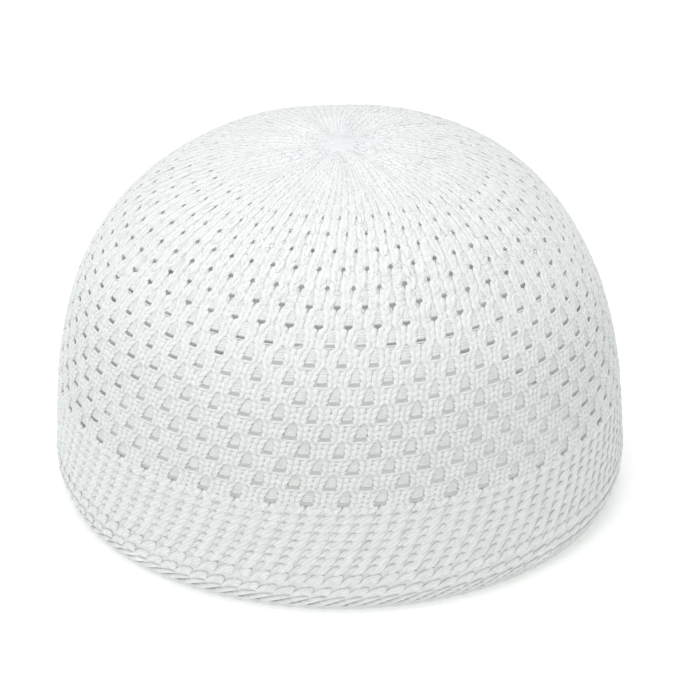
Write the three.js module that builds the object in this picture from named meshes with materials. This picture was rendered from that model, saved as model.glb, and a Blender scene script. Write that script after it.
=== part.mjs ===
// A knitted kufi: a rib-knit band, an openwork crown drawn in at the top, and the gather that closes it.
// Millimetres, +Z up. The origin is the centre of the flat rim that the hat rests on.
import * as THREE from "three";

// Overall form. The middle of the knit follows one profile from the rim to the top.
const widestRadius = 88.8;
const crownHeight = 113.7;
const sideRoundness = 0.77;
const topRoundness = 0.684;
const rimTuck = 0.046;
const rimTuckHeight = 12;

// The knit leans to the right as it climbs, by this angle from upright at the widest place.
const knitLean = THREE.MathUtils.degToRad(15);
const columnsPerEyelet = 4;
const eyeletsPerRow = 20;

// Band
const bandHeight = 36;
const bandWall = 2.6;
const bandInset = 0.2;
const rimFlatWidth = 2;

// Crown
const crownWall = 2;
const ropeRelief = 0.9;
const openworkHeight = 88;
const bridgeHeight = 3.6;
const pleatCount = 10;
const pleatDepth = 1.1;

// Gather
const gatherRadius = 4.2;
const gatherThickness = 2.6;
const gatherCrimps = 10;
const gatherCrimpDepth = 0.5;

// Free space between two neighbouring pieces
const seamClearance = 0.3;

const columns = columnsPerEyelet * eyeletsPerRow;
const columnAngle = (2 * Math.PI) / columns;

// Eyelet rows from the lowest to the highest. Width is a share of the eyelet pitch, height a share of the row.
const eyeletRows = [
  { widthShare: 0.38, heightShare: 0.78 },
  { widthShare: 0.35, heightShare: 0.76 },
  { widthShare: 0.33, heightShare: 0.72 },
  { widthShare: 0.31, heightShare: 0.64 },
  { widthShare: 0.29, heightShare: 0.52 },
  { widthShare: 0.27, heightShare: 0.42 },
];

// Outer face of the band. Height is a share of the band's height. Swell and relief are shares of its wall:
// swell moves the whole course out, and relief parts its ribs from the valleys between them.
const bandCourses = [
  { course: "flat rim", heightShare: 0, swell: -0.12, relief: 0 },
  { course: "rolled edge", heightShare: 0.035, swell: 0.16, relief: 0 },
  { course: "edge groove", heightShare: 0.075, swell: -0.06, relief: 0.06 },
  { course: "second hooked row", heightShare: 0.14, swell: 0.1, relief: 0.3 },
  { course: "groove", heightShare: 0.21, swell: -0.05, relief: 0.08 },
  { course: "first hooked row", heightShare: 0.275, swell: 0.1, relief: 0.3 },
  { course: "groove", heightShare: 0.345, swell: -0.05, relief: 0.1 },
  { course: "foot of the ribs", heightShare: 0.4, swell: 0.02, relief: 0.36 },
  { course: "ribs", heightShare: 0.7, swell: 0.02, relief: 0.4 },
  { course: "top of the ribs", heightShare: 0.96, swell: 0, relief: 0.34 },
];
const bandLiningShares = [1, 0.7, 0.4, 0.2, 0.08];

// Levels of the closed top of the crown, as shares of the way from the openwork to the gather.
const closedTopShares = [0.16, 0.34, 0.52, 0.7, 0.86, 1];

// Creases pressed into the top: the way they face, counted from the front to the right, how far round
// they reach, where they start and end up the crown, and their depth as a share of the crown's height.
const creases = [
  { facing: 24, spread: 7, fromShare: 0.79, toShare: 0.95, depthShare: 0.024 },
  { facing: -64, spread: 9, fromShare: 0.82, toShare: 0.96, depthShare: 0.014 },
  { facing: 150, spread: 10, fromShare: 0.8, toShare: 0.96, depthShare: 0.016 },
];

// Points along the profile with the arc length from the rim to each.
function profilePoints(steps) {
  const points = [];
  let arc = 0;
  for (let step = 0; step <= steps; step += 1) {
    const turn = (Math.PI / 2) * (step / steps);
    const z = crownHeight * Math.sin(turn) ** topRoundness;
    const tuck = rimTuck * Math.max(0, 1 - z / rimTuckHeight) ** 2;
    const point = new THREE.Vector2(
      widestRadius * Math.max(0, Math.cos(turn)) ** sideRoundness * (1 - tuck),
      z,
    );
    if (step > 0) arc += point.distanceTo(points[step - 1].point);
    points.push({ point, arc });
  }
  return points;
}

const profile = profilePoints(600);
const profileLength = profile[profile.length - 1].arc;

// The profile's place and outward direction at an arc length from the rim.
function profileAt(arc) {
  const wanted = THREE.MathUtils.clamp(arc, 0, profileLength);
  const next = Math.max(1, profile.findIndex((entry) => entry.arc >= wanted));
  const before = profile[next - 1];
  const after = profile[next];
  const share = (wanted - before.arc) / (after.arc - before.arc);
  const along = after.point.clone().sub(before.point).normalize();
  return {
    place: before.point.clone().lerp(after.point, share),
    outward: new THREE.Vector2(along.y, -along.x),
  };
}

// A point of the hat at a column (whole or not) and an arc length, moved out of the profile by an offset.
function knitPoint(column, arc, offset) {
  const { place, outward } = profileAt(arc);
  const azimuth = column * columnAngle + (arc * Math.tan(knitLean)) / widestRadius;
  const radius = place.x + outward.x * offset;
  const height = place.y + outward.y * offset;
  return new THREE.Vector3(radius * Math.cos(azimuth), radius * Math.sin(azimuth), height);
}

// A surface from a list of points and a list of four-cornered faces, each wound to face out.
function surfaceOf(points, quads) {
  const geometry = new THREE.BufferGeometry().setFromPoints(points);
  geometry.setIndex(quads.flatMap(([a, b, c, d]) => [a, b, c, a, c, d]));
  geometry.computeVertexNormals();
  return geometry;
}

// A ring with the same number of section points at each column, going up the outside and down the inside.
function ringOf(sectionAt) {
  const sections = Array.from({ length: columns }, (_, column) => sectionAt(column));
  const count = sections[0].length;
  const quads = [];
  for (let column = 0; column < columns; column += 1) {
    const here = column * count;
    const next = ((column + 1) % columns) * count;
    for (let k = 0; k < count; k += 1) {
      const above = (k + 1) % count;
      quads.push([here + k, next + k, next + above, here + above]);
    }
  }
  return surfaceOf(sections.flat(), quads);
}

// A wall with an outer and an inner skin over the same grid of columns and levels.
// Cells where isOpen is true are left out of both skins, and their edges are walled.
function piercedWall(levelCount, pointAt, isOpen) {
  const points = [];
  for (const side of ["outer", "inner"])
    for (let level = 0; level < levelCount; level += 1)
      for (let column = 0; column < columns; column += 1) points.push(pointAt(column, level, side));
  const outer = (column, level) => level * columns + (column + columns) % columns;
  const inner = (column, level) => outer(column, level) + levelCount * columns;
  const filled = (column, level) =>
    level >= 0 && level < levelCount - 1 && !isOpen((column + columns) % columns, level);
  const quads = [];
  for (let level = 0; level < levelCount - 1; level += 1)
    for (let column = 0; column < columns; column += 1) {
      if (!filled(column, level)) continue;
      const corners = [
        [column, level],
        [column + 1, level],
        [column + 1, level + 1],
        [column, level + 1],
      ];
      const neighbours = [
        [column, level - 1],
        [column + 1, level],
        [column, level + 1],
        [column - 1, level],
      ];
      quads.push(corners.map((corner) => outer(...corner)));
      quads.push(corners.map((corner) => inner(...corner)).reverse());
      neighbours.forEach((neighbour, edge) => {
        if (filled(...neighbour)) return;
        const from = corners[edge];
        const to = corners[(edge + 1) % corners.length];
        quads.push([inner(...from), inner(...to), outer(...to), outer(...from)]);
      });
    }
  return surfaceOf(points, quads);
}

// Ribs stand out on even columns, and the valleys between them lie on odd ones.
const ribSide = (column) => (column % 2 === 0 ? 1 : -1);

// The band: a flat rim, a rolled edge, two hooked rows and the leaning ribs, with a plain inner face.
function bandGeometry() {
  const half = bandWall / 2;
  return ringOf((column) => {
    const outside = bandCourses.map(({ heightShare, swell, relief }) => {
      const offset = half - bandInset + bandWall * (swell + (relief * ribSide(column)) / 2);
      return knitPoint(column, bandHeight * heightShare, offset);
    });
    const top = knitPoint(column, bandHeight, half - bandInset);
    const inside = bandLiningShares.map((share) => knitPoint(column, bandHeight * share, -half));
    const rim = outside[0];
    rim.z = 0;
    const rimRadius = Math.hypot(rim.x, rim.y);
    const innerRim = rim.clone().multiplyScalar((rimRadius - rimFlatWidth) / rimRadius);
    return [...outside, top, ...inside, innerRim];
  });
}

// Levels of the crown: for each eyelet row its foot, middle and head, and then the closed top.
function crownLevels(start, end) {
  const levels = [{ arc: start, row: null }];
  const rowHeight = openworkHeight / eyeletRows.length;
  eyeletRows.forEach(({ widthShare, heightShare }, index) => {
    const foot = start + bridgeHeight + index * rowHeight;
    const eyeletHeight = rowHeight * heightShare;
    const parts = [
      { part: "foot", rise: 0, spread: 0.8 },
      { part: "middle", rise: 0.42, spread: 1 },
      { part: "head", rise: 0.88, spread: 0.4 },
    ];
    for (const { part, rise, spread } of parts)
      levels.push({ arc: foot + eyeletHeight * rise, row: index, part, eyeletHeight, half: (widthShare * spread) / 2 });
  });
  const closedFrom = start + bridgeHeight + openworkHeight;
  levels.push({ arc: closedFrom, row: null });
  for (const share of closedTopShares)
    levels.push({ arc: THREE.MathUtils.lerp(closedFrom, end, share), row: null });
  return levels;
}

// The column in the middle of the nearest eyelet of a row. Each row is half a pitch away from the one below.
function eyeletColumn(column, row) {
  const shift = row % 2 === 0 ? 1 : 1 + columnsPerEyelet / 2;
  return Math.round((column - shift) / columnsPerEyelet) * columnsPerEyelet + shift;
}

// How far creases press the wall in at a column and an arc length.
function creaseDepth(column, arc) {
  const share = arc / profileLength;
  const azimuth = THREE.MathUtils.radToDeg(column * columnAngle + (arc * Math.tan(knitLean)) / widestRadius);
  return creases.reduce((depth, { facing, spread, fromShare, toShare, depthShare }) => {
    const away = THREE.MathUtils.euclideanModulo(azimuth + 90 - facing + 180, 360) - 180;
    const up = (share - fromShare) / (toShare - fromShare);
    if (up <= 0 || up >= 1) return depth;
    return depth + crownHeight * depthShare * Math.sin(Math.PI * up) * Math.exp(-((away / spread) ** 2));
  }, 0);
}

// The crown: ropes of stitches that swing round staggered eyelets, closing into pleats towards the top.
function crownGeometry() {
  const start = bandHeight + seamClearance;
  const end = profileLength - gatherRadius - seamClearance;
  const levels = crownLevels(start, end);
  const closedFrom = start + bridgeHeight + openworkHeight;

  const pointAt = (column, level, side) => {
    const { arc, row, part, eyeletHeight, half } = levels[level];
    let placeColumn = column;
    let placeArc = arc;
    if (row !== null) {
      const middle = eyeletColumn(column, row);
      const away = column - middle;
      if (Math.abs(away) === 1) placeColumn = middle + away * half * columnsPerEyelet;
      if (away === 0 && part === "head") placeArc += 0.12 * eyeletHeight;
    }
    const { place } = profileAt(arc);
    const crowding = Math.min(1, place.x / (widestRadius / 2));
    const gathered = THREE.MathUtils.clamp((arc - closedFrom) / (end - closedFrom), 0, 1);
    const pleat = Math.cos((column / columns) * 2 * Math.PI * pleatCount);
    const fold = pleatDepth * Math.sin(Math.PI * gathered) ** 2 * pleat * crowding;
    const relief = (ropeRelief / 2) * ribSide(column) * crowding;
    const pressed = creaseDepth(column, placeArc);
    const wall = side === "outer" ? crownWall / 2 + relief : -crownWall / 2 + relief / 2;
    return knitPoint(placeColumn, placeArc, wall + fold - pressed);
  };

  const isOpen = (column, level) => {
    const below = levels[level];
    if (below.row === null || below.part === "head") return false;
    const middle = eyeletColumn(column + 0.5, below.row);
    return column === middle - 1 || column === middle;
  };
  return piercedWall(levels.length, pointAt, isOpen);
}

// The gather: a small crimped button of knit drawn together, set in the crown's top opening.
function gatherGeometry() {
  const half = gatherThickness / 2;
  const top = profileAt(profileLength).place.y;
  const outline = new THREE.Path();
  outline.moveTo(0, -half);
  outline.lineTo(gatherRadius - half, -half);
  outline.absarc(gatherRadius - half, 0, half, -Math.PI / 2, Math.PI / 2);
  outline.quadraticCurveTo(gatherRadius / 3, half, 0, half / 4);
  const geometry = new THREE.LatheGeometry(outline.getPoints(4), gatherCrimps * 2);
  geometry.rotateX(Math.PI / 2);
  const position = geometry.getAttribute("position");
  const point = new THREE.Vector3();
  for (let i = 0; i < position.count; i += 1) {
    point.fromBufferAttribute(position, i);
    const radius = Math.hypot(point.x, point.y);
    const crimp = (Math.cos(gatherCrimps * Math.atan2(point.y, point.x)) - 1) / 2;
    const shrink = 1 + (gatherCrimpDepth * crimp) / gatherRadius;
    const taper = radius / gatherRadius;
    position.setXYZ(i, point.x * (1 + (shrink - 1) * taper), point.y * (1 + (shrink - 1) * taper), point.z + top);
  }
  return geometry;
}

function yarn(colour) {
  return new THREE.MeshStandardMaterial({ color: colour, roughness: 0.85, metalness: 0 });
}

function piece(name, geometry, material) {
  const mesh = new THREE.Mesh(geometry, material);
  mesh.name = name;
  return mesh;
}

const group = new THREE.Group();
group.add(
  piece("band", bandGeometry(), yarn(0xdde2e1)),
  piece("crown", crownGeometry(), yarn(0xe8ecec)),
  piece("gather", gatherGeometry(), yarn(0xf2f5f5)),
);

export default group;
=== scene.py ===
import bpy
import bmesh
import numpy as np
from math import pi, radians, sin, cos
from mathutils import Matrix, Vector


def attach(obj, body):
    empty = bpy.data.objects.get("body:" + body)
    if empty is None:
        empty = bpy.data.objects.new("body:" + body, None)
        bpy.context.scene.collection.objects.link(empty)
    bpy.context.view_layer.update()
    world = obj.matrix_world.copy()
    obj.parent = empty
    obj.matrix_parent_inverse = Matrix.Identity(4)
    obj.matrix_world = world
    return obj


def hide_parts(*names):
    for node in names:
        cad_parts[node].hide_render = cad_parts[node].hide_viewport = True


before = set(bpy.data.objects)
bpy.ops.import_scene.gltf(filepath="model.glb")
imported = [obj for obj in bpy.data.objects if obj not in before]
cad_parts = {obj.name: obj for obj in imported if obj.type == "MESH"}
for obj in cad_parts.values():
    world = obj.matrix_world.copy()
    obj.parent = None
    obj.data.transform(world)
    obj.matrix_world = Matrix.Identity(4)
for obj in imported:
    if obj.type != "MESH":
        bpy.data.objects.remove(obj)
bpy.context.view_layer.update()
print("frame loaded, nodes:", sorted(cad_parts))

mm = 0.001
rng = np.random.default_rng(11)

# The cap's form: one profile from the rim up to the gather, along the middle of the knit.
# An arc is a distance up this profile, and a lift stands out from it
cap = {
    "radius": 88.8 * mm,
    "height": 114.4 * mm,
    "sideRoundness": 0.77,
    "topRoundness": 0.684,
    "rimTuck": 0.046,           # share of the radius that the rim is drawn in by
    "rimTuckHeight": 12 * mm,
    "bandHeight": 36 * mm,
    "wales": 100,               # ropes of stitches round the crown, and ribs round the band
    "frontTurn": 0.140,         # from the front to the first eyelet, radians
    "firstRow": 38.6 * mm,      # arc of the lowest eyelet row
    "rowStep": 4.89 * mm,
    "rowGrowth": 0.0501 * mm,   # each row is a little taller than the one below
    "rowTurn": radians(0.859),  # the knit leans to the right as it climbs
    "eyeletRows": 17,
    "poleGap": 0.8 * mm,        # the knit ends this far short of the pole
}


def buildProfile(steps=3000):
    turn = np.linspace(0, pi / 2, steps)
    height = cap["height"] * np.sin(turn) ** cap["topRoundness"]
    tuck = cap["rimTuck"] * np.clip(1 - height / cap["rimTuckHeight"], 0, 1) ** 2
    radius = cap["radius"] * np.clip(np.cos(turn), 0, 1) ** cap["sideRoundness"] * (1 - tuck)
    arc = np.concatenate([[0], np.cumsum(np.hypot(np.diff(radius), np.diff(height)))])
    outward = np.stack([np.gradient(height, arc), -np.gradient(radius, arc)])
    outward /= np.hypot(*outward)
    return {"arc": arc, "radius": radius, "height": height, "out": outward[0], "up": outward[1]}


profile = buildProfile()
profileLength = profile["arc"][-1]
topArc = profileLength - cap["poleGap"]
eyeletsRound = cap["wales"] // 2


def profileValue(key, arc):
    return np.interp(arc, profile["arc"], profile[key])


def rowAt(arc):
    # eyelet rows passed on the way up to this arc, a fraction between rows
    step, growth = cap["rowStep"], cap["rowGrowth"]
    return (-step + np.sqrt(step ** 2 + 4 * growth * (arc - cap["firstRow"]))) / (2 * growth)


def arcAt(row):
    return cap["firstRow"] + cap["rowStep"] * row + cap["rowGrowth"] * row ** 2


def walePitch(arc):
    return 2 * pi * profileValue("radius", arc) / cap["wales"]


# Soft unevenness of the worn knit, and the creases near the top
folds = {
    "waves": [(3, 0.5, 0.55 * mm), (5, 2.1, 0.35 * mm), (8, 4.0, 0.2 * mm)],  # count, phase, height
    "pleats": 10,
    "pleatDepth": 1.0 * mm,
    "pleatPhase": 0.7,
    "pleatFrom": 0.80,         # share of the profile
    "creases": [               # facing (radians), spread, from, to (shares of the profile), depth
        (radians(24), radians(6), 0.79, 0.95, 2.4 * mm),
        (radians(-64), radians(9), 0.82, 0.96, 1.5 * mm),
        (radians(150), radians(10), 0.80, 0.96, 1.7 * mm),
    ],
}


def foldLift(azimuth, arc):
    share = arc / profileLength
    lift = np.zeros_like(azimuth)
    for count, phase, height in folds["waves"]:
        lift += height * np.sin(count * azimuth + phase) * np.sin(pi * np.clip(share, 0, 1)) ** 2
    top = np.clip((share - folds["pleatFrom"]) / (1 - folds["pleatFrom"]), 0, 1)
    pleat = np.cos(folds["pleats"] * azimuth + folds["pleatPhase"])
    lift += folds["pleatDepth"] * np.sin(pi * top) ** 2 * pleat
    for facing, spread, low, high, depth in folds["creases"]:
        away = (azimuth - facing + pi) % (2 * pi) - pi
        up = np.clip((share - low) / (high - low), 0, 1)
        lift -= depth * np.sin(pi * up) * np.exp(-(away / spread) ** 2)
    return lift


def drape(wale, arc, lift):
    # lays points of the flat knit over the cap: wales round, arc up the profile, lift outwards
    radius, height = profileValue("radius", arc), profileValue("height", arc)
    facing = cap["frontTurn"] + 2 * pi * wale / cap["wales"] + rowAt(arc) * cap["rowTurn"]
    lift = lift + foldLift(facing, arc)
    radius = radius + profileValue("out", arc) * lift
    height = np.maximum(height + profileValue("up", arc) * lift, 0)  # the rim lies flat on the floor
    return np.stack([radius * np.sin(facing), -radius * np.cos(facing), height], axis=1)


def meshFrom(bm, name):
    mesh = bpy.data.meshes.new(name)
    bm.to_mesh(mesh)
    bm.free()
    return mesh


def objectFrom(data, name):
    made = bpy.data.objects.new(name, data)
    bpy.context.scene.collection.objects.link(made)
    return made


# A short length of yarn: a ball with closed ends, poles along Y, with its own UV map
def yarnUnit(around, rings):
    bm = bmesh.new()
    bm.loops.layers.uv.new("UVMap")
    bmesh.ops.create_uvsphere(bm, u_segments=around, v_segments=rings, radius=1, calc_uvs=True)
    bmesh.ops.rotate(bm, verts=bm.verts, matrix=Matrix.Rotation(-pi / 2, 3, "X"))
    bmesh.ops.recalc_face_normals(bm, faces=bm.faces)
    return meshFrom(bm, "yarnUnit")


copyShift = (0.37, 0.21)       # each copy's step in the UV map, so that no two neighbours match


def arrayOf(name, unit, columns, rows):
    # the unit repeated in a flat field, row after row, as one mesh
    piece = objectFrom(unit, name)
    for label, count, step in (("across", columns, (1, 0, 0)), ("up", rows, (0, 1, 0))):
        repeat = piece.modifiers.new(label, "ARRAY")
        repeat.count = count
        repeat.use_relative_offset = False
        repeat.use_constant_offset = True
        repeat.constant_offset_displace = step
        repeat.offset_u, repeat.offset_v = copyShift
    graph = bpy.context.evaluated_depsgraph_get()
    field = bpy.data.meshes.new_from_object(piece.evaluated_get(graph))
    piece.modifiers.clear()
    piece.data = field
    field.name = name
    return piece


def plumper(y, share):
    # widens a length of yarn towards its ends, so that it tapers late
    return 1 + share * y * y


def blunt(y, power, least=0.02):
    # fills out the ends of a ball so that it ends round, not pointed
    return np.clip(1 - y * y, least, 1) ** -power


def knitField(name, unit, columns, rows, place, material):
    # place(x, y, z, column, row) gives wale, arc and lift of every point
    start = np.empty(len(unit.vertices) * 3)
    unit.vertices.foreach_get("co", start)
    start = start.reshape(-1, 3)
    piece = arrayOf(name, unit, columns, rows)
    copies = columns * rows
    local = np.tile(start, (copies, 1))
    copy = np.repeat(np.arange(copies), len(start))
    wale, arc, lift = place(local[:, 0], local[:, 1], local[:, 2], copy % columns, copy // columns)
    points = drape(wale, arc, lift)
    piece.data.vertices.foreach_set("co", points.ravel())
    piece.data.shade_smooth()
    piece.data.materials.clear()
    piece.data.materials.append(material)
    piece.data.update()
    return piece


def finishPiece(piece, node):
    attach(piece, "root")
    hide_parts(node)
    print(piece.name, len(piece.data.polygons), "faces")


# Materials
def newMaterial(name):
    material = bpy.data.materials.new(name)
    material.use_nodes = True
    return material, material.node_tree.nodes["Principled BSDF"]


yarnLook = {
    "bright": (0.898, 0.917, 0.917, 1),
    "dull": (0.85, 0.872, 0.867, 1),
    "toneScale": 420.0,        # how fine the mottling from dull to bright is
    "toneDetail": 3,
    "toneRange": (0.32, 0.62),
    "plies": 6,
    "twist": 2.5,
    "twistDepth": 0.33,
    "twistHeight": 0.12 * mm,
    "groove": 0.94,            # painted shade in the grooves between two plies: how light they stay
    "grooveTop": 0.2,          # where the painted shade of the grooves ends, on a wave from -1 to 1 across a ply
    "fuzz": 2400.0,
    "fuzzDetail": 4,
    "fuzzDepth": 0.35,
    "fuzzHeight": 0.1 * mm,
    "roughness": 0.62,
    "sheen": 0.25,
    "sheenRoughness": 0.5,
    "shine": 0.35,             # specular level
}
# darker than the rope yarn as painted shade, for the band low on the cap that gets less light; its coarser
# plies and fuzz are its own
bandShadeLook = {
    "dull": (0.81, 0.837, 0.83, 1),
    "bright": (0.89, 0.912, 0.905, 1),
    "groove": 0.88,
    "twistDepth": 0.4,
    "fuzz": 1400.0,
    "fuzzDepth": 0.9,
}
# a darker copy of the rope yarn, as painted shade on the cushions behind the ropes
backShadeLook = {
    "dull": (0.78, 0.802, 0.79, 1),
    "bright": (0.85, 0.872, 0.858, 1),
}
# a darker copy of the rope yarn, as painted shade on the ladder bars behind the eyelets and on the band's
# core between its stitches
recessShadeLook = {
    "dull": (0.735, 0.757, 0.733, 1),
    "bright": (0.815, 0.837, 0.813, 1),
    "groove": 0.97,
    "twistDepth": 0.2,
}
# a darker copy of the rope yarn, as painted shade that tones down the light on the knot's up-facing top
gatherShadeLook = {
    "dull": (0.76, 0.782, 0.785, 1),
    "bright": (0.81, 0.832, 0.835, 1),
    "plies": 44,               # the UV map goes once round the whole knot
    "twist": 0.5,
    "twistDepth": 0.15,
    "groove": 0.97,
    "sheen": 0.1,
}


def mottledTone(nodes, links, place, look):
    tone = nodes.new("ShaderNodeTexNoise")
    tone.inputs["Scale"].default_value = look["toneScale"]
    tone.inputs["Detail"].default_value = look["toneDetail"]
    links.new(place.outputs["Object"], tone.inputs["Vector"])
    ramp = nodes.new("ShaderNodeValToRGB")
    for stop, share, colour in zip(ramp.color_ramp.elements, look["toneRange"], ("dull", "bright")):
        stop.position = share
        stop.color = look[colour]
    links.new(tone.outputs["Fac"], ramp.inputs["Fac"])
    return ramp.outputs["Color"]


def plyWave(nodes, links, place, look):
    # plies run along the yarn and round it, from the UV map: U goes round, V along
    split = nodes.new("ShaderNodeSeparateXYZ")
    links.new(place.outputs["UV"], split.inputs[0])
    around = nodes.new("ShaderNodeMath")
    around.operation = "MULTIPLY"
    around.inputs[1].default_value = look["plies"] * 2 * pi
    links.new(split.outputs["X"], around.inputs[0])
    twist = nodes.new("ShaderNodeMath")
    twist.operation = "MULTIPLY_ADD"
    twist.inputs[1].default_value = look["twist"] * 2 * pi
    links.new(split.outputs["Y"], twist.inputs[0])
    links.new(around.outputs[0], twist.inputs[2])
    ply = nodes.new("ShaderNodeMath")
    ply.operation = "SINE"
    links.new(twist.outputs[0], ply.inputs[0])
    return ply.outputs[0]


# darkens the tone in the grooves between plies, as painted shade
def groovedTone(nodes, links, tone, ply, look):
    groove = nodes.new("ShaderNodeMapRange")
    groove.inputs["From Min"].default_value = -1
    groove.inputs["From Max"].default_value = look["grooveTop"]
    groove.inputs["To Min"].default_value = look["groove"]
    links.new(ply, groove.inputs["Value"])
    paint = nodes.new("ShaderNodeMix")
    paint.data_type = "RGBA"
    paint.blend_type = "MULTIPLY"
    paint.inputs["Factor"].default_value = 1
    links.new(tone, paint.inputs["A"])
    links.new(groove.outputs["Result"], paint.inputs["B"])
    return paint.outputs["Result"]


def bumpOf(nodes, links, height, strength, distance):
    bump = nodes.new("ShaderNodeBump")
    bump.inputs["Strength"].default_value = strength
    bump.inputs["Distance"].default_value = distance
    links.new(height, bump.inputs["Height"])
    return bump


def yarnMaterial(name, changes):
    look = {**yarnLook, **changes}
    material, shader = newMaterial(name)
    nodes, links = material.node_tree.nodes, material.node_tree.links
    place = nodes.new("ShaderNodeTexCoord")
    tone = mottledTone(nodes, links, place, look)
    ply = plyWave(nodes, links, place, look)
    links.new(groovedTone(nodes, links, tone, ply, look), shader.inputs["Base Color"])
    fuzz = nodes.new("ShaderNodeTexNoise")
    fuzz.inputs["Scale"].default_value = look["fuzz"]
    fuzz.inputs["Detail"].default_value = look["fuzzDetail"]
    links.new(place.outputs["Object"], fuzz.inputs["Vector"])
    plies = bumpOf(nodes, links, ply, look["twistDepth"], look["twistHeight"])
    hairs = bumpOf(nodes, links, fuzz.outputs["Fac"], look["fuzzDepth"], look["fuzzHeight"])
    links.new(plies.outputs["Normal"], hairs.inputs["Normal"])
    links.new(hairs.outputs["Normal"], shader.inputs["Normal"])
    shader.inputs["Roughness"].default_value = look["roughness"]
    shader.inputs["Sheen Weight"].default_value = look["sheen"]
    shader.inputs["Sheen Roughness"].default_value = look["sheenRoughness"]
    shader.inputs["Specular IOR Level"].default_value = look["shine"]
    return material


ropeYarn = yarnMaterial("ropeYarn", {})
bandShadeYarn = yarnMaterial("bandShadeYarn", bandShadeLook)
backShadeYarn = yarnMaterial("backShadeYarn", backShadeLook)
recessShadeYarn = yarnMaterial("recessShadeYarn", recessShadeLook)
gatherShadeYarn = yarnMaterial("gatherShadeYarn", gatherShadeLook)
print("yarns made")


# Crown: chains of V stitches that swing round the eyelets
ropes = {
    "perRow": 3,                           # stitches to an eyelet row
    "zones": [                             # name, from row, to row
        ("crownRopesLow", -0.55, 7.12),
        ("crownRopesMiddle", 7.12, 15.45),
        ("crownRopesHigh", 15.45, 18.45),
    ],
    "faces": (6, 4),                       # round and along each leg
    # the first of each pair holds up to the first of these rows, the other one from the second
    "blendRows": (5, 11),
    "foot": (0.12, 0.08),                  # where a leg starts, share of the rope's width
    "head": (0.37, 0.28),                  # and where it ends
    "legWidth": (0.25, 0.34),
    "legDepth": (0.62 * mm, 0.15 * mm),
    "legLength": (1.5, 2.3),               # stitches that one leg spans
    "tuck": (0.7, 0.21),                   # how deep the ends of a leg run under its neighbours
    "tuckCurve": 1.8,
    "legCurve": 0.85,
    "plump": 0.4,                          # how much a leg fills out towards its ends
    "seat": 0.35,                          # share of its depth that a leg stands out by
    "fullPitch": 5 * mm,                   # legs are shallower where the ropes are narrower than this
    "leastDepth": 0.3,
    "overlap": 0.12 * mm,
    "overlapFade": 0.5 * mm,               # half width of a gap at which no overlap is left
    "unevenLift": 0.05 * mm,
    "unevenWidth": 0.04,
}

# The eyelets, row by row from the band up. A row is counted from one eyelet line to the next
eyelets = {
    "row": [-1, -0.35, 0, 1, 6, 9, 11, 12, 14, 16, 17, 19],
    # half width of the slit, mm
    "half": [0, 0, 2.4, 2.3, 2.15, 1.65, 1.2, 0.95, 0.62, 0.4, 0, 0],
    # width of the throat above the slit, share of the slit's
    "neck": [0.76, 0.76, 0.76, 0.75, 0.74, 0.72, 0.5, 0.2, 0.06, 0.0, 0.0, 0.0],
    # the ropes meet this many rows above the eyelet line
    "shut": [0.9, 0.9, 0.9, 0.93, 0.91, 0.86, 0.8, 0.78, 0.75, 0.7, 0.7, 0.7],
    # and part again here, for the next eyelet of their gap
    "open": [1.66, 1.66, 1.66, 1.74, 1.76, 1.84, 1.86, 1.86, 1.86, 1.86, 1.86, 1.86],
    "openEnd": 1.96,                       # and are fully apart here
    "slitRows": (9, 13),
    "slitTop": (0.27, 0.17),               # the slit's height at these rows
    "slitFoot": 0.05,                      # the slit has its full width up to here
    "slitCurve": 0.8,
    "throatTaper": 0.6,                    # share of its height over which a throat narrows
    "throatCurve": 0.45,
    "lowestThroat": -0.5,                  # the row that throats start above
    "nextFrom": 1.5,                       # from here up a gap belongs to its next eyelet
    "unevenRows": 24,                      # a few more than the cap has
    "uneven": 0.1,
    "unevenLimits": (0.75, 1.25),
}


def eyeletValue(key, row):
    return np.interp(row, eyelets["row"], eyelets[key])


def eyeletHalf(row):
    return eyeletValue("half", row) * mm


unevenEyelets = rng.normal(1, eyelets["uneven"], (eyelets["unevenRows"], eyeletsRound))
unevenEyelets = np.clip(unevenEyelets, *eyelets["unevenLimits"])


def eyeletShape(row, gap):
    # half width of the gap between two ropes; every second gap has its eyelets in the odd rows
    since = (row - gap % 2) % 2
    line = row - since
    own = np.round(line + 2 * (since > eyelets["nextFrom"]))
    own = np.clip(own, 0, eyelets["unevenRows"] - 1).astype(int)
    uneven = unevenEyelets[own, (gap // 2) % eyeletsRound]
    neck, shut, part = (eyeletValue(key, row) for key in ("neck", "shut", "open"))
    slitTop = np.interp(row, eyelets["slitRows"], eyelets["slitTop"])
    slit = np.clip((slitTop - since) / (slitTop - eyelets["slitFoot"]), 0, 1) ** eyelets["slitCurve"]
    taper = np.clip((shut - since) / (shut * eyelets["throatTaper"]), 0, 1)
    throat = neck * taper ** eyelets["throatCurve"] * (line > eyelets["lowestThroat"])
    opening = np.clip((since - part) / (eyelets["openEnd"] - part), 0, 1)
    return eyeletHalf(row) * uneven * np.maximum(np.maximum(slit, throat), opening)


def ropeSpan(wale, arc, overlap):
    # centre and width of a rope, in wales; ropes overlap where no eyelet parts them
    row, pitch = rowAt(arc), walePitch(arc)
    edges = []
    for gap in (wale, (wale + 1) % cap["wales"]):
        half = eyeletShape(row, gap)
        edges.append((half - overlap * np.clip(1 - half / ropes["overlapFade"], 0, 1)) / pitch)
    return wale + 0.5 + (edges[0] - edges[1]) / 2, 1 - edges[0] - edges[1]


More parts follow.
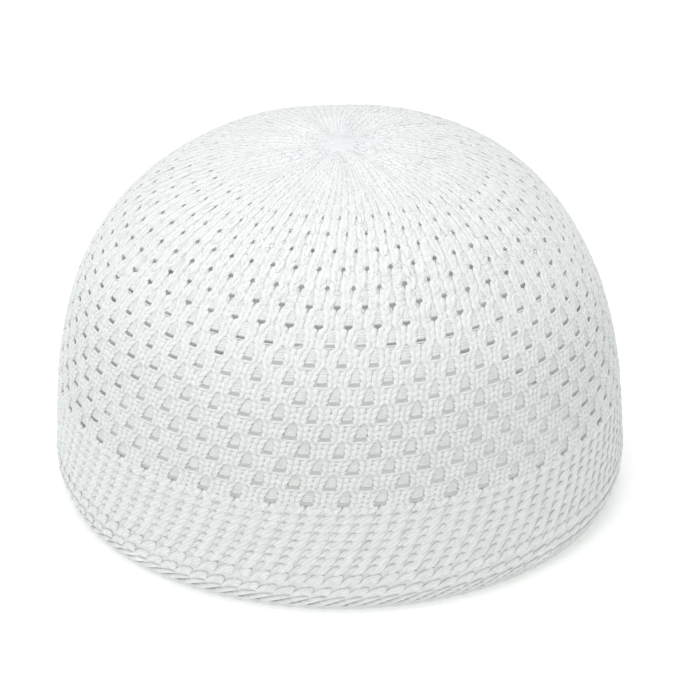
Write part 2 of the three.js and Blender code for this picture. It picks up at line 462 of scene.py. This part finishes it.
def ropeStitches(name, fromRow, toRow):
    stitches = int(round((toRow - fromRow) * ropes["perRow"]))
    legs = 2 * cap["wales"]
    unevenLift = rng.normal(0, ropes["unevenLift"], legs * stitches)
    unevenWidth = rng.normal(1, ropes["unevenWidth"], legs * stitches)

    def place(x, y, z, column, course):
        wale, side = column // 2, np.where(column % 2 == 0, -1, 1)
        own = course * legs + column
        centreRow = fromRow + (course + 0.5) / ropes["perRow"]
        foot, head, legWidth, legDepth, legLength, tuck = (
            np.interp(centreRow, ropes["blendRows"], ropes[key])
            for key in ("foot", "head", "legWidth", "legDepth", "legLength", "tuck"))
        arc = arcAt(centreRow + y * legLength / 2 / ropes["perRow"])
        up = (y + 1) / 2
        plump = plumper(y, ropes["plump"])
        thickness = x * plump * legWidth * unevenWidth[own]
        across = side * (foot + (head - foot) * up ** ropes["legCurve"]) + thickness
        centre, width = ropeSpan(wale, arc, ropes["overlap"])
        bulge = legDepth * np.clip(walePitch(arc) / ropes["fullPitch"], ropes["leastDepth"], 1)
        standing = z * plump + ropes["seat"] - tuck * np.abs(y) ** ropes["tuckCurve"]
        return centre + across * width, arc, standing * bulge + unevenLift[own]

    return knitField(name, yarnUnit(*ropes["faces"]), legs, stitches, place, ropeYarn)


for zoneName, low, high in ropes["zones"]:
    finishPiece(ropeStitches(zoneName, low, high), "crown")


# Backs of the stitches: low cushions behind each rope, seen in its gaps and from inside
backs = {
    "toRow": 21.8,
    "perRow": 3,
    "faces": (6, 3),
    "reach": 0.62,             # half the length of a cushion, in stitches
    "width": 0.5,
    "plump": 0.3,
    "overlap": 0.5 * mm,
    "depth": 0.42 * mm,
    "liftRows": (5, 14),
    "lift": (-0.02 * mm, -0.18 * mm),  # at these rows
}


def stitchBacks():
    fromRow = ropes["zones"][0][1]
    courses = int(round((backs["toRow"] - fromRow) * backs["perRow"]))

    def place(x, y, z, column, course):
        row = fromRow + (course + 0.5 + backs["reach"] * y) / backs["perRow"]
        arc = np.minimum(arcAt(row), topArc)
        centre, width = ropeSpan(column, arc, backs["overlap"])
        lift = np.interp(rowAt(arc), backs["liftRows"], backs["lift"]) + z * backs["depth"]
        return centre + x * plumper(y, backs["plump"]) * backs["width"] * width, arc, lift

    return knitField("crownBacks", yarnUnit(*backs["faces"]), cap["wales"], courses, place, backShadeYarn)


finishPiece(stitchBacks(), "crown")


# Closed top: every two ropes run together and the stitches shrink towards the gather
closedTop = {
    "wales": 50,                # one for every two ropes
    "fromRow": 18.3,
    "toRow": 21.8,
    "perRow": 4.0,
    "faces": (6, 4),
    "legSpread": (0.16, 0.36),  # where a leg starts and ends, shares of the rope's width
    "legWidth": 0.37,
    "legDepth": 0.1 * mm,
    "legLength": 2.0,
    "plump": 0.4,
    "seat": 0.3,
    "tuck": 0.16,
    "fullPitch": 4 * mm,
    "leastDepth": 0.35,
    "lift": 0.3 * mm,           # at the gather, none where it starts
    "unevenLift": 0.025 * mm,
    "unevenSide": 0.03,
}


def topStitches():
    fromRow, toRow = closedTop["fromRow"], closedTop["toRow"]
    courses = int(round((toRow - fromRow) * closedTop["perRow"]))
    legs = 2 * closedTop["wales"]
    perRope = cap["wales"] // closedTop["wales"]
    unevenLift = rng.normal(0, closedTop["unevenLift"], legs * courses)
    unevenSide = rng.normal(0, closedTop["unevenSide"], legs * courses)

    def place(x, y, z, column, course):
        rope, side = column // 2, np.where(column % 2 == 0, -1, 1)
        own = course * legs + column
        row = fromRow + (course + 0.5 + y * closedTop["legLength"] / 2) / closedTop["perRow"]
        arc = np.minimum(arcAt(row), topArc)
        foot, head = closedTop["legSpread"]
        plump = plumper(y, closedTop["plump"])
        across = side * (foot + (head - foot) * (y + 1) / 2) + unevenSide[own]
        across = across + x * plump * closedTop["legWidth"]
        narrow = walePitch(arc) * perRope / closedTop["fullPitch"]
        bulge = closedTop["legDepth"] * np.clip(narrow, closedTop["leastDepth"], 1)
        standing = z * plump + closedTop["seat"] - closedTop["tuck"] * y * y
        rising = (row - fromRow) / (toRow - fromRow)
        lift = closedTop["lift"] * rising + standing * bulge + unevenLift[own]
        return (rope + 0.5 + across) * perRope, arc, lift

    return knitField("crownTop", yarnUnit(*closedTop["faces"]), legs, courses, place, ropeYarn)


finishPiece(topStitches(), "crown")


# Ladders: bars of yarn that cross each eyelet behind the ropes
ladders = {
    "bars": 5,
    "faces": (5, 3),
    "firstBarRows": (10.5, 12),
    "firstBar": (1.15 * mm, 1.4 * mm),  # above the eyelet line, at these rows
    "thickness": 0.72 * mm,
    "bulge": 0.2 * mm,
    "blunt": 0.35,
    "liftRows": (5, 11),
    "lift": (0.08 * mm, 0.1 * mm),
    "tuck": 0.7 * mm,          # how far a bar runs behind the ropes at each side
    "sag": 0.15 * mm,
    "endDrop": 0.15 * mm,      # the ends lie this much deeper than the middle
}


def ladderBars():
    def place(x, y, z, column, course):
        row, bar = course // ladders["bars"], course % ladders["bars"]
        gap = 2 * column + row % 2
        top = arcAt(row + eyeletValue("shut", row))
        first = arcAt(row) + np.interp(row, ladders["firstBarRows"], ladders["firstBar"])
        arc = first + (top - first) * bar / (ladders["bars"] - 0.5)  # half a step short of the top
        reach = eyeletShape(rowAt(arc), gap) + ladders["tuck"]
        plump = blunt(y, ladders["blunt"])
        arc = arc + z * plump * ladders["thickness"] - ladders["sag"] * (1 - y * y)
        wale = gap + y * reach / walePitch(arc)
        lift = np.interp(row, ladders["liftRows"], ladders["lift"])
        lift = lift + x * plump * ladders["bulge"] - y * y * ladders["endDrop"]
        return wale, arc, lift

    courses = cap["eyeletRows"] * ladders["bars"]
    return knitField("crownLadders", yarnUnit(*ladders["faces"]), eyeletsRound, courses, place, recessShadeYarn)


finishPiece(ladderBars(), "crown")


# Ledges: the loops slung under each eyelet between its two ropes
ledges = {
    "firstRow": 1,             # the lowest eyelets sit on the band and have no loops
    "rows": 9,
    "faces": (6, 5),
    "tuck": 0.35 * mm,         # how far a loop runs behind the ropes at each side
    "endDrop": 0.9 * mm,
    "fullHalf": 1.7 * mm,      # loops shrink under slits narrower than this
    "leastHalf": 0.45,
    "leastFade": 0.1,
    "upperLoop": {
        "below": 0.35 * mm,    # the eyelet line
        "share": 1.05,         # of the slit's half width
        "thick": 0.42 * mm,
        "sag": 0.6 * mm,
        "out": 0.3 * mm,
        "fadeFrom": 6.5,       # the size falls from this by one over fadeRows with each row
        "fadeRows": 1.5,
    },
    "lowerLoop": {
        "below": 1.4 * mm,
        "share": 0.7,
        "thick": 0.42 * mm,
        "sag": 0.35 * mm,
        "out": 0.15 * mm,
        "fadeFrom": 1.4,
        "fadeRows": 12,
    },
}


def slungLoops():
    loops = (ledges["upperLoop"], ledges["lowerLoop"])

    def place(x, y, z, column, course):
        row, loop = ledges["firstRow"] + course // len(loops), course % len(loops)
        below, share, thick, sag, out, fadeFrom, fadeRows = (
            np.array([each[key] for each in loops])[loop]
            for key in ("below", "share", "thick", "sag", "out", "fadeFrom", "fadeRows"))
        half = eyeletHalf(row)
        size = np.clip(half / ledges["fullHalf"], ledges["leastHalf"], 1)
        size = size * np.clip(fadeFrom - row / fadeRows, ledges["leastFade"], 1)
        reach = half * share + ledges["tuck"]
        arc = arcAt(row) - (below + sag * (1 - y * y) - z * thick) * size
        wale = 2 * column + row % 2 + y * reach / walePitch(arc)
        return wale, arc, out + x * thick * size - ledges["endDrop"] * y ** 4

    courses = ledges["rows"] * len(loops)
    return knitField("crownLedges", yarnUnit(*ledges["faces"]), eyeletsRound, courses, place, ropeYarn)


finishPiece(slungLoops(), "crown")


# Band: leaning ribs of rounded stitches over two hooked cast-on rows and a rolled edge
band = {
    "ribCourses": 8,
    "ribFrom": 16.4 * mm,
    "ribTo": 36.2 * mm,
    "lean": 0.083,             # the ribs lean this much more than the crown does
    "swing": 6.06e-5,          # and swing over further towards the edge
    "swingCurve": 3.35,
    "unevenLift": 0.06 * mm,
    "unevenTilt": radians(2.5),
    "tailSeat": 0.2,           # share of its tail that a stitch is set back up by
}

# Every rib stitch is a flat pillow with a raised strand up its left side.
# A pair is for the highest course and the lowest one, where nothing else is said
ribPillow = {
    "faces": (8, 6),           # round and along
    "length": (5.2 * mm, 5.8 * mm),
    "width": (3.5 * mm, 3.5 * mm),
    "tilt": (radians(4), radians(32)),
    "shift": (0.1 * mm, 0.1 * mm),
    "tail": (0.3 * mm, 0.4 * mm),  # how far the tail hangs
    "curl": 2.0,
    "swell": 0.0,
    "round": (0.2, 0.2),       # how blunt the tail and the head are
    "depth": 0.35 * mm,
    "lift": 0.15 * mm,
    "rise": 0.0,
    "droop": 0.45 * mm,
}
ribStrand = {
    "faces": (6, 5),
    "length": (3.0 * mm, 3.8 * mm),
    "width": (1.6 * mm, 1.6 * mm),
    "tilt": (radians(48), radians(44)),
    "shift": (-2.3 * mm, -2.3 * mm),
    "tail": (0.0, 0.0),
    "curl": 2.0,
    "swell": 0.1,
    "round": (0.1, 0.1),
    "depth": 0.45 * mm,
    "lift": 0.25 * mm,
    "rise": 0.05 * mm,
    "droop": 0.3 * mm,
}
# A cast-on stitch is a hook: a round head and a tail that comes up to it from the left
hookHead = {
    "arcs": (13.2 * mm, 8.8 * mm),
    "faces": (8, 6),
    "length": (3.4 * mm, 3.4 * mm),
    "width": (3.2 * mm, 3.2 * mm),
    "tilt": (radians(-8), radians(-8)),
    "shift": (1.1 * mm, 1.1 * mm),
    "tail": (0.5 * mm, 0.5 * mm),
    "curl": 2.0,
    "swell": 0.1,
    "round": (0.1, 0.3),
    "depth": 0.55 * mm,
    "lift": 0.35 * mm,
    "rise": 0.12 * mm,
    "droop": 0.35 * mm,
}
hookTail = {
    "arcs": (12.3 * mm, 7.8 * mm),
    "faces": (8, 6),
    "length": (6.2 * mm, 6.2 * mm),
    "width": (2.3 * mm, 2.3 * mm),
    "tilt": (radians(38), radians(38)),
    "shift": (-1.2 * mm, -1.2 * mm),
    "tail": (0.6 * mm, 0.6 * mm),
    "curl": 1.6,
    "swell": 0.1,
    "round": (0.1, 0.1),
    "depth": 0.45 * mm,
    "lift": 0.15 * mm,
    "rise": 0.25 * mm,
    "droop": 0.3 * mm,
}


def bandSkew(arc):
    down = np.clip((cap["bandHeight"] - arc) / mm, 0, None)
    return -(band["lean"] * down + band["swing"] * down ** band["swingCurve"]) * mm / walePitch(arc)


def bandStitches(name, stitch, arcs):
    courses = len(arcs)
    unevenLift = rng.normal(0, band["unevenLift"], cap["wales"] * courses)
    unevenTilt = rng.normal(0, band["unevenTilt"], cap["wales"] * courses)

    def place(x, y, z, column, course):
        own = course * cap["wales"] + column
        centre = np.array(arcs)[course]
        low = (1 - course / (courses - 1)) ** 2
        length, width, tilt, tail, shift = (
            stitch[key][0] + (stitch[key][1] - stitch[key][0]) * low
            for key in ("length", "width", "tilt", "tail", "shift"))
        tilt = tilt + unevenTilt[own]
        plump = blunt(y, np.where(y < 0, *stitch["round"])) * (1 + stitch["swell"] * y)
        hang = tail * ((1 - y) / 2) ** stitch["curl"]
        side = x * plump * width / 2 - hang + band["tailSeat"] * tail
        along = y * length / 2
        across = along * np.cos(tilt) - side * np.sin(tilt)
        arc = centre + along * np.sin(tilt) + side * np.cos(tilt)
        wale = column + 0.5 + bandSkew(centre) + (across + shift) / walePitch(centre)
        lift = -z * plump * stitch["depth"] + stitch["lift"] + stitch["rise"] * y
        return wale, arc, lift - stitch["droop"] * y ** 4 + unevenLift[own]

    return knitField(name, yarnUnit(*stitch["faces"]), cap["wales"], courses, place, bandShadeYarn)


ribArcs = np.linspace(band["ribFrom"], band["ribTo"], band["ribCourses"])
for stitchName, stitch, arcs in (("bandRibs", ribPillow, ribArcs), ("bandStrands", ribStrand, ribArcs),
                                 ("bandHooks", hookHead, hookHead["arcs"]),
                                 ("bandTails", hookTail, hookTail["arcs"])):
    finishPiece(bandStitches(stitchName, stitch, arcs), "band")


# Core of the band, which shows between the stitches, and the rolled edge under its cords
core = {
    "bottom": 1.5 * mm,
    "top": 37.2 * mm,
    "topLift": -0.2 * mm,
    "inside": -1.3 * mm,
    "insideArcs": (24 * mm, 12 * mm),
    "outside": [               # arc and lift, on the way up
        (6 * mm, 0.18 * mm),
        (10.8 * mm, 0.2 * mm),
        (14.5 * mm, 0.02 * mm),
        (17 * mm, 0.02 * mm),
        (24 * mm, 0.03 * mm),
        (34 * mm, 0.06 * mm),
    ],
}
edge = {
    "roll": 0.75 * mm,
    "rollCentre": 1.0 * mm,
    "rollFaces": 16,
    "cordArcs": (0.7 * mm, 1.8 * mm, 2.9 * mm, 4.0 * mm, 5.2 * mm),
    "cordFaces": (6, 5),
    "cordThickness": 0.9 * mm,
    "cordFlatness": 0.6,
    "cordLength": 5.6 * mm,
    "cordTilt": 0.75 * mm,     # each length of cord climbs by this
    "cordShift": 0.33,         # each round of cord starts this many wales further on
    "cordLift": 0.3 * mm,
    "endDrop": 0.3 * mm,
    "lowest": 0.1 * mm,
    "uneven": 0.08 * mm,
}
ring = {
    "steps": 200,              # lengths round the cap
    "seam": 0.001 * mm,        # points closer than this are joined where the ring closes
}


def sweptRing(name, outline, material):
    # an outline of arcs and lifts, swept flat along the wales and then laid round
    bm = bmesh.new()
    loop = [bm.verts.new((0, lift, arc)) for arc, lift in outline]
    edges = [bm.edges.new((loop[i - 1], loop[i])) for i in range(len(loop))]
    for step in range(ring["steps"]):
        made = bmesh.ops.extrude_edge_only(bm, edges=edges)["geom"]
        newVerts = [item for item in made if isinstance(item, bmesh.types.BMVert)]
        edges = [item for item in made if isinstance(item, bmesh.types.BMEdge)
                 and all(v in newVerts for v in item.verts)]
        bmesh.ops.translate(bm, verts=newVerts, vec=(cap["wales"] / ring["steps"], 0, 0))
    flat = np.array([v.co for v in bm.verts])
    points = drape(flat[:, 0], flat[:, 2], flat[:, 1])
    for vert, point in zip(bm.verts, points):
        vert.co = point
    bmesh.ops.remove_doubles(bm, verts=bm.verts, dist=ring["seam"])
    bmesh.ops.recalc_face_normals(bm, faces=bm.faces)
    mesh = meshFrom(bm, name)
    mesh.shade_smooth()
    mesh.materials.append(material)
    return objectFrom(mesh, name)


def coreOutline():
    up = [(core["bottom"], core["inside"]), (core["bottom"], 0.0), *core["outside"]]
    over = [(core["top"], core["topLift"]), (core["top"], core["inside"])]
    return up + over + [(arc, core["inside"]) for arc in core["insideArcs"]]


def edgeOutline():
    turns = np.arange(edge["rollFaces"]) * 2 * pi / edge["rollFaces"]
    return [(edge["rollCentre"] + edge["roll"] * sin(turn), edge["roll"] * cos(turn)) for turn in turns]


# the core takes the darker recess yarn: painted shade in the valleys between the band's stitches
finishPiece(sweptRing("bandCore", coreOutline(), recessShadeYarn), "band")
finishPiece(sweptRing("bandEdge", edgeOutline(), ropeYarn), "band")


def edgeCords():
    arcs = np.array(edge["cordArcs"])
    uneven = rng.normal(0, edge["uneven"], cap["wales"] * len(arcs))

    def place(x, y, z, column, course):
        own = course * cap["wales"] + column
        arc = arcs[course] + z * edge["cordThickness"] + y * edge["cordTilt"] + uneven[own]
        turned = y * edge["cordLength"] / 2 / walePitch(arcs[course])
        wale = column + edge["cordShift"] * course + turned
        lift = edge["cordLift"] + x * edge["cordFlatness"] * edge["cordThickness"] - edge["endDrop"] * y ** 4
        return wale, np.maximum(arc, edge["lowest"]), lift

    return knitField("bandCords", yarnUnit(*edge["cordFaces"]), cap["wales"], len(arcs), place, ropeYarn)


finishPiece(edgeCords(), "band")


# Gather: the crimped knot of knit that closes the top
gather = {
    "radius": 5.8 * mm,
    "thickness": 1.1 * mm,
    "sink": 0.3 * mm,          # below the top of the profile
    "crimps": 14,
    "crimpDepth": 0.06 * mm,
    "crimpLean": 5,            # how far the crimps' wave slides from the middle out, radians
    "crimpFaces": 4,
    "rings": 14,
    "dimple": 0.2 * mm,
}


def gatherKnot():
    bm = bmesh.new()
    bm.loops.layers.uv.new("UVMap")
    around = gather["crimps"] * gather["crimpFaces"]
    bmesh.ops.create_uvsphere(bm, u_segments=around, v_segments=gather["rings"], radius=1, calc_uvs=True)
    for vert in bm.verts:
        x, y, z = vert.co
        out = (x * x + y * y) ** 0.5
        wave = gather["crimps"] * np.arctan2(y, x) + gather["crimpLean"] * out
        crimp = gather["crimpDepth"] * out * cos(wave)
        level = z * gather["thickness"] + crimp - gather["dimple"] * (1 - out) ** 2
        height = cap["height"] - gather["sink"] + level
        vert.co = (x * gather["radius"], y * gather["radius"], height)
    mesh = meshFrom(bm, "gatherKnot")
    mesh.shade_smooth()
    mesh.materials.append(gatherShadeYarn)
    return objectFrom(mesh, "gatherKnot")


finishPiece(gatherKnot(), "gather")
print("pieces made")


# Floor, light and camera
studio = {
    "floor": (0.86, 0.86, 0.86, 1),
    "floorGlow": (0.27, 0.276, 0.262, 1),  # a light table under the paper
    "floorRoughness": 0.9,
    "floorReach": 6,                       # from the middle to each side, m
    "world": (0.985, 1.0, 1.005, 1),
    "worldStrength": 0.522,
    "aim": (0, 0, 0.05),
    "lights": [                            # name, place (m), size (m), power (W)
        ("topLight", (-0.15, -0.1, 1.4), 1.2, 13.6),
        ("frontLight", (-0.9, -1.2, 0.7), 0.7, 1.35),
        ("insideLight", (0, 0, 0.003), 0.13, 0.016),  # stands in for daylight through the knit
    ],
}


def makeFloor():
    bm = bmesh.new()
    bmesh.ops.create_grid(bm, x_segments=1, y_segments=1, size=studio["floorReach"])
    mesh = meshFrom(bm, "floor")
    material, shader = newMaterial("floorPaper")
    shader.inputs["Base Color"].default_value = studio["floor"]
    shader.inputs["Emission Color"].default_value = studio["floorGlow"]
    shader.inputs["Emission Strength"].default_value = 1
    shader.inputs["Roughness"].default_value = studio["floorRoughness"]
    mesh.materials.append(material)
    return objectFrom(mesh, "floor")


makeFloor()


def makeLights():
    world = bpy.data.worlds.new("studioWorld")
    world.use_nodes = True
    sky = world.node_tree.nodes["Background"]
    sky.inputs["Color"].default_value = studio["world"]
    sky.inputs["Strength"].default_value = studio["worldStrength"]
    bpy.context.scene.world = world
    for name, spot, size, power in studio["lights"]:
        lamp = bpy.data.lights.new(name, "AREA")
        lamp.size = size
        lamp.energy = power
        light = objectFrom(lamp, name)
        light.location = spot
        towards = Vector(studio["aim"]) - Vector(spot)
        light.rotation_euler = towards.to_track_quat("-Z", "Y").to_euler()
        light.visible_camera = False


makeLights()
bpy.context.scene.view_settings.view_transform = "Standard"

view = {
    "elevation": radians(28.1),
    "distance": 1.571,         # m
    "lens": 257.9,             # mm, as the sensor is
    "sensor": 36,
    "aim": (3.2 * mm, 0, 47.6 * mm),
    "lower": 3.86 * mm,        # the aim slides down the picture by this
}


def makeCamera():
    camera = bpy.data.cameras.new("camera")
    camera.lens = view["lens"]
    camera.sensor_width = view["sensor"]
    eye = objectFrom(camera, "camera")
    back = Vector((0, -cos(view["elevation"]), sin(view["elevation"])))
    upward = Vector((0, sin(view["elevation"]), cos(view["elevation"])))
    eye.location = Vector(view["aim"]) - upward * view["lower"] + back * view["distance"]
    eye.rotation_euler = (-back).to_track_quat("-Z", "Y").to_euler()
    bpy.context.scene.camera = eye


makeCamera()
print("studio made")
